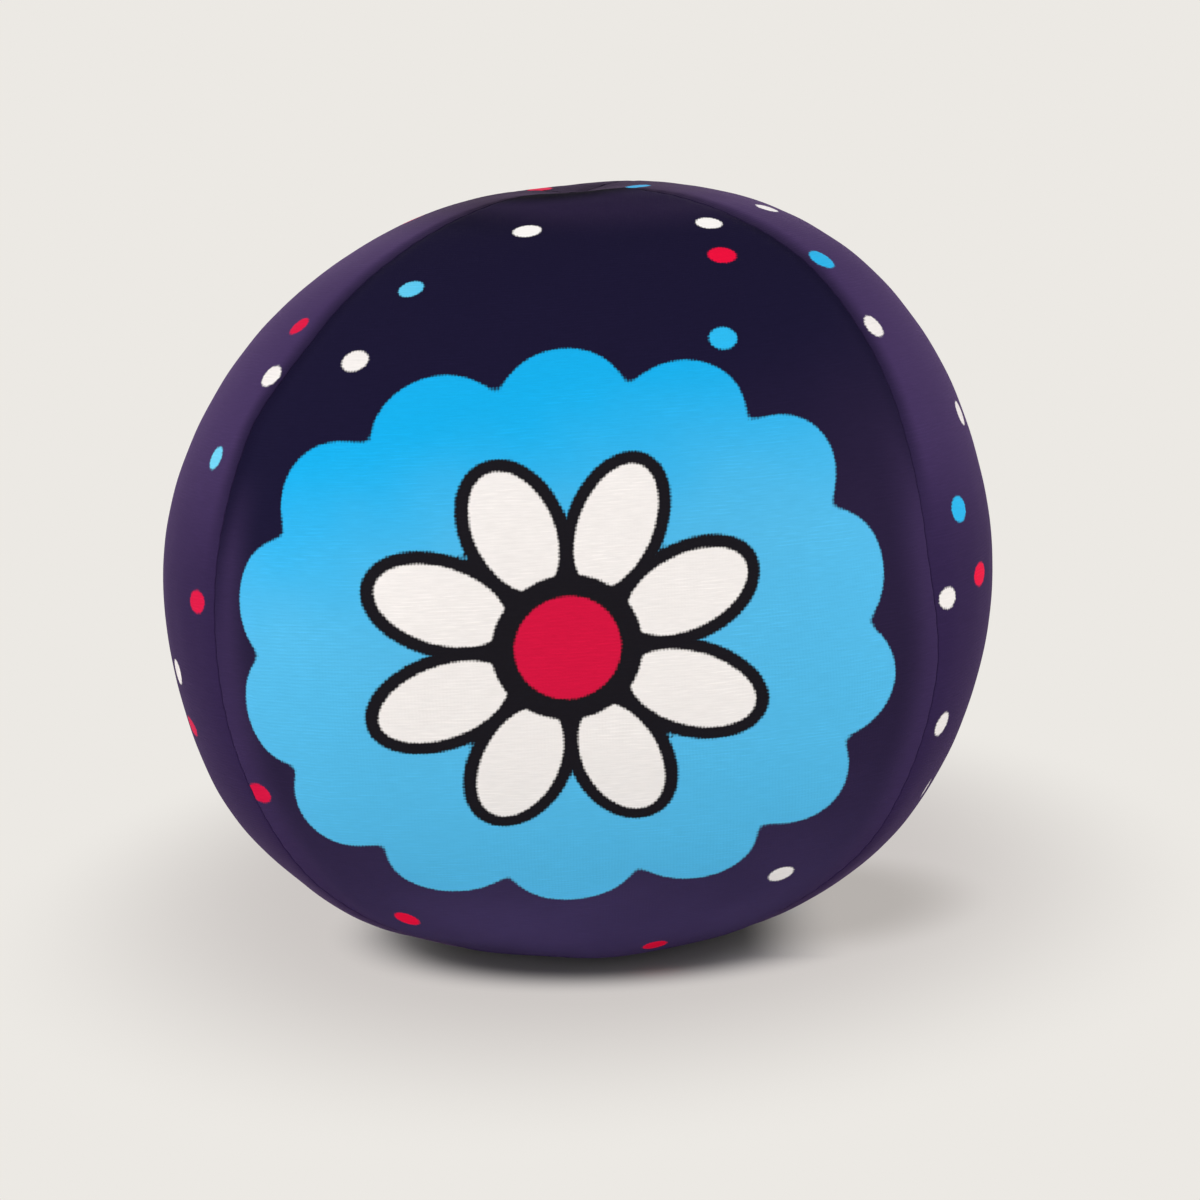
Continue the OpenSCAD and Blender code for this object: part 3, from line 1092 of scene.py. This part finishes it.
def knit(nodes, cloth, rows, wales):
    """Height of the knit, and how light it is: fine lines along its rows, stronger in patches."""
    streaks = nodes.noise(cloth, STREAK_GRAIN, detail=3.0, roughness=0.6)
    nap = nodes.noise(cloth, NAP_GRAIN)
    patches = nodes.ramp(nodes.noise(cloth, PATCH_GRAIN), *PATCH_SPAN)
    height = nodes.times(rows, ROW_HEIGHT)
    for part, share in ((wales, WALE_HEIGHT), (nap, NAP_HEIGHT), (streaks, STREAK_HEIGHT)):
        height = nodes.math("MULTIPLY_ADD", part, share, height)
    lines = nodes.times(nodes.ramp(rows, *ROW_SPAN), nodes.ramp(streaks, *LINE_SPAN), patches)
    light = nodes.ramp(streaks, *STREAK_SPAN, 1 - STREAK_TONE, 1 + STREAK_TONE)
    return height, nodes.math("MULTIPLY_ADD", lines, LINE_TONE, light)


def navy_ground(nodes, place, level, shaded_navies, medallion):
    """Navy of a gore from its top to its foot in painted light and shade, with painted shade at the seams
    and crown.
    """
    at = nodes.split(place)
    seam = nodes.attribute("seam")
    above, middle, low = shaded_navies
    # Painted light and shade by height, tilted across the front gore
    tilted = nodes.math("MULTIPLY_ADD", at["X"], -PALE_TILT if medallion else 0.0, level)
    color = nodes.mix(nodes.ramp(tilted, *PALE_SPAN), above, middle)
    color = nodes.mix(nodes.ramp(level, *LOW_SPAN), color, low)
    if medallion:
        # Painted light beside the front's seams at middle heights
        beside = nodes.times(nodes.ramp(seam, BESIDE_REACH, 0.0), nodes.ramp(level, *BESIDE_SPAN))
        color = nodes.mix(beside, color, BESIDE_SEAM_LIGHT_NAVY)
    # Painted shade along the seams, in the upper part only
    upper = nodes.ramp(tilted, *PALE_SPAN[::-1], 0.0, SEAM_SHADE)
    color = nodes.mix(nodes.times(nodes.ramp(seam, SEAM_SHADE_REACH, 0.0), upper), color, SEAM_SHADE_NAVY)
    # Painted shade round the crown, where the gores' tips meet
    high = nodes.ramp(at["Z"], *POLE_SPAN)
    color = nodes.mix(nodes.times(nodes.patch(place, *CROWN_SHADE_PATCH), high), color, CROWN_SHADE_NAVY)
    if medallion:
        # Painted highlight on the front's crest below the crown
        crest = nodes.times(nodes.patch(place, *CREST_HIGHLIGHT_PATCH), high, nodes.patch(place, *CREST_CLEAR))
        color = nodes.mix(crest, color, CREST_HIGHLIGHT_NAVY)
    return color


def medallion_print(nodes, color, level, x, edge):
    """The rosette and its daisy, laid over a colour ink by ink."""
    # The sky ink pales lower down: partly print paling where the cloth stretches, partly painted sheen
    sky_level = nodes.math("MULTIPLY_ADD", x, -SKY_TILT, level)
    sky = nodes.mix(nodes.ramp(sky_level, *SKY_SPAN), SKY, SKY_PALE)
    rosette, petals, disc = (nodes.attribute(name) for name in ("rosette", "petals", "disc"))
    for ink, distance, inset in (
        (sky, rosette, 0.0),
        (BLACK, petals, INK_LINE / 2),
        (WHITE, petals, -INK_LINE / 2),
        (BLACK, disc, DISC_R),
        (RED, disc, CORE_R),
    ):
        color = inked(nodes, color, ink, distance, edge, inset)
    return color


def cloth_material(name, shaded_navies, sheen, medallion):
    """Napped knit with its print outside, and the plain back of the cloth inside."""
    nodes = Nodes(bpy.data.materials.new(name))
    cloth = nodes.attribute("cloth", "Vector")
    place = nodes.place()
    at = nodes.split(place)
    cloud = nodes.noise(place, CLOUD_GRAIN)
    level = nodes.math("MULTIPLY_ADD", cloud, CLOUD_DEPTH, at["Z"])
    rows = knit_wave(nodes, cloth, "Y", ROW_PITCH)
    wales = knit_wave(nodes, cloth, "X", WALE_PITCH)
    edge = print_edge(nodes, cloth, rows, wales)
    color = navy_ground(nodes, place, level, shaded_navies, medallion)
    if medallion:
        color = medallion_print(nodes, color, level, at["X"], edge)
    # Each dot ink turns into its copy painted with light and shade
    for dots, (usual, painted_light_ink, axis, start, end) in DOT_INKS_PAINTED_LIGHT.items():
        ink = nodes.mix(nodes.ramp(at[axis], start, end), usual, painted_light_ink)
        color = inked(nodes, color, ink, nodes.attribute(dots), edge)
    height, light = knit(nodes, cloth, rows, wales)
    # Painted light: the cloth and its print are lightened towards the foot
    light = nodes.times(light, nodes.ramp(level, *BELLY_SPAN, 1.0, BELLY_PAINTED_LIGHT))
    shade = nodes.feed(nodes.add("ShaderNodeCombineColor"), light, light, light)[0]
    color = nodes.mix(1.0, color, shade, "MULTIPLY")
    color = nodes.mix(nodes.attribute("inside"), color, BACKING)
    roughness = nodes.ramp(cloud, *NOISE_SPAN, *CLOTH_ROUGH)
    normal = nodes.bump(height, distance=0.05 * MM, strength=0.6)
    return nodes.surface(
        color, roughness, normal, sheen, sheen_roughness=0.35, sheen_tint=CLOTH_SHEEN, specular=0.01
    )


def fibre_material():
    nodes = Nodes(bpy.data.materials.new("white_fibrefill"))
    place = nodes.place()
    strands = nodes.noise(place, STRAND_GRAIN, detail=6.0, roughness=0.7)
    clumps = nodes.noise(place, CLUMP_GRAIN, detail=3.0)
    color = nodes.mix(nodes.ramp(clumps, *NOISE_SPAN), FIBRE, FIBRE_DULL)
    roughness = nodes.ramp(strands, *NOISE_SPAN, *FIBRE_ROUGH)
    normal = nodes.bump(strands, distance=0.6 * MM, strength=0.8)
    return nodes.surface(
        color, roughness, normal, sheen=0.5, sheen_roughness=0.5, sheen_tint=PLAIN_SHEEN, specular=0.2
    )


def thread_material():
    nodes = Nodes(bpy.data.materials.new("navy_thread"))
    strands = nodes.noise(nodes.place(), TWIST_GRAIN, detail=3.0)
    color = nodes.mix(nodes.ramp(strands, *NOISE_SPAN), THREAD_INK, THREAD_LIGHT)
    roughness = nodes.ramp(strands, *NOISE_SPAN, *THREAD_ROUGH)
    normal = nodes.bump(strands, distance=0.04 * MM)
    return nodes.surface(
        color, roughness, normal, sheen=0.2, sheen_roughness=0.4, sheen_tint=THREAD_SHEEN, specular=0.4
    )


def stage_material():
    """Pale paper with the ball's real shadow, and a painted shadow under and round the ball that only the
    camera sees.
    """
    nodes = Nodes(bpy.data.materials.new("pale_sweep"))
    place = nodes.place()
    camera_ray = nodes.camera_ray()
    grain = nodes.noise(place, PAPER_GRAIN, detail=3.0)
    color = nodes.mix(nodes.ramp(grain, *NOISE_SPAN), PAPER, PAPER_LIGHT)
    # Painted shadow: the paper darkened under the ball, for the camera only
    dark = nodes.patch(place, *CONTACT_SHADOW_PATCH, 0.0, CONTACT_SHADOW_SHARE)
    color = nodes.mix(nodes.times(dark, camera_ray), color, SHADE)
    roughness = nodes.ramp(grain, *NOISE_SPAN, *PAPER_ROUGH)
    normal = nodes.bump(nodes.noise(place, PAPER_TOOTH), distance=0.02 * MM, strength=0.2)
    nodes.surface(
        color, roughness, normal, sheen=0.0, sheen_roughness=0.5, sheen_tint=PLAIN_SHEEN, specular=0.1
    )
    # Painted shadow for the camera: a soft tone round the ball, deeper to its right, fading to the
    # background
    shadow_tone = nodes.mix(nodes.patch(place, *PAINTED_SHADOW_PATCH), PAINTED_SHADOW, BACKGROUND)
    shadow_tone = nodes.mix(nodes.patch(place, *DEEP_SHADOW_PATCH), shadow_tone, PAINTED_SHADOW_DEEP)
    seen = nodes.fill(nodes.add("ShaderNodeEmission"), {"Color": shadow_tone})
    right = nodes.ramp(nodes.split(place)["X"], *SIDE_SPAN)
    far = nodes.math("MAXIMUM", nodes.patch(place, *SHADOW_PATCH), right)
    lit = nodes.tree.nodes["Principled BSDF"].outputs[0]
    nodes.show(nodes.times(far, camera_ray), lit, seen, "Material Output")
    return nodes.owner


# Stage and light

def build_stage():
    """A floor that sweeps up into a backdrop behind the ball."""
    turn = np.linspace(0, math.pi / 2, SWEEP_STEPS)
    profile = [(FLOOR_FRONT, 0.0), (SWEEP_AT, 0.0)]
    profile += [(SWEEP_AT + SWEEP_R * math.sin(t), SWEEP_R - SWEEP_R * math.cos(t)) for t in turn[1:]]
    profile.append((SWEEP_AT + SWEEP_R, BACKDROP_TOP))
    points = np.array([[x, y, z] for y, z in profile for x in (-STAGE_HALF, STAGE_HALF)])
    sweep = add_mesh("sweep", points, grid_faces(grid_ids(len(profile), 2)))
    dress(sweep, stage_material())


def build_world():
    """Even light all round, while the camera sees the background's colour."""
    world = bpy.data.worlds.new("studio")
    bpy.context.scene.world = world
    nodes = Nodes(world)
    around = nodes.tree.nodes["Background"]
    lit = nodes.fill(around, {"Color": WORLD_COLOR, "Strength": WORLD_STRENGTH})
    seen = nodes.fill(nodes.add("ShaderNodeBackground"), {"Color": BACKGROUND, "Strength": 1.0})
    nodes.show(nodes.camera_ray(), lit, seen, "World Output")


def build_lamps():
    """Rectangular lamps, all aimed at the ball's middle."""
    for name, place, size, watts in LAMPS:
        data = bpy.data.lights.new(name, "AREA")
        data.shape = "RECTANGLE"
        data.size, data.size_y = size
        data.energy = watts
        lamp = add_object(name, data)
        lamp.location = place
        lamp.rotation_euler = (Vector(HEART) - Vector(place)).to_track_quat("-Z", "Y").to_euler()


def main():
    bpy.context.scene.view_settings.view_transform = "Standard"
    build_camera()
    panels = [
        Panel("front", 0.0, FRONT_GRID),
        Panel("right", math.pi / 2, SIDE_GRID),
        Panel("back", math.pi, SIDE_GRID),
        Panel("left", -math.pi / 2, SIDE_GRID),
    ]
    print_dots(panels)
    print_medallion(panels)
    build_filling(fibre_material())
    dotted = cloth_material("dotted_knit", SIDE_SHADED_NAVIES, SIDE_SHEEN, False)
    printed = cloth_material("printed_knit", FRONT_SHADED_NAVIES, FRONT_SHEEN, True)
    panels[0].build("printed_cloth", printed)
    for panel in panels[1:]:
        panel.build("dotted_cloth", dotted)
    build_threads(thread_material())
    build_stage()
    build_world()
    build_lamps()


main()
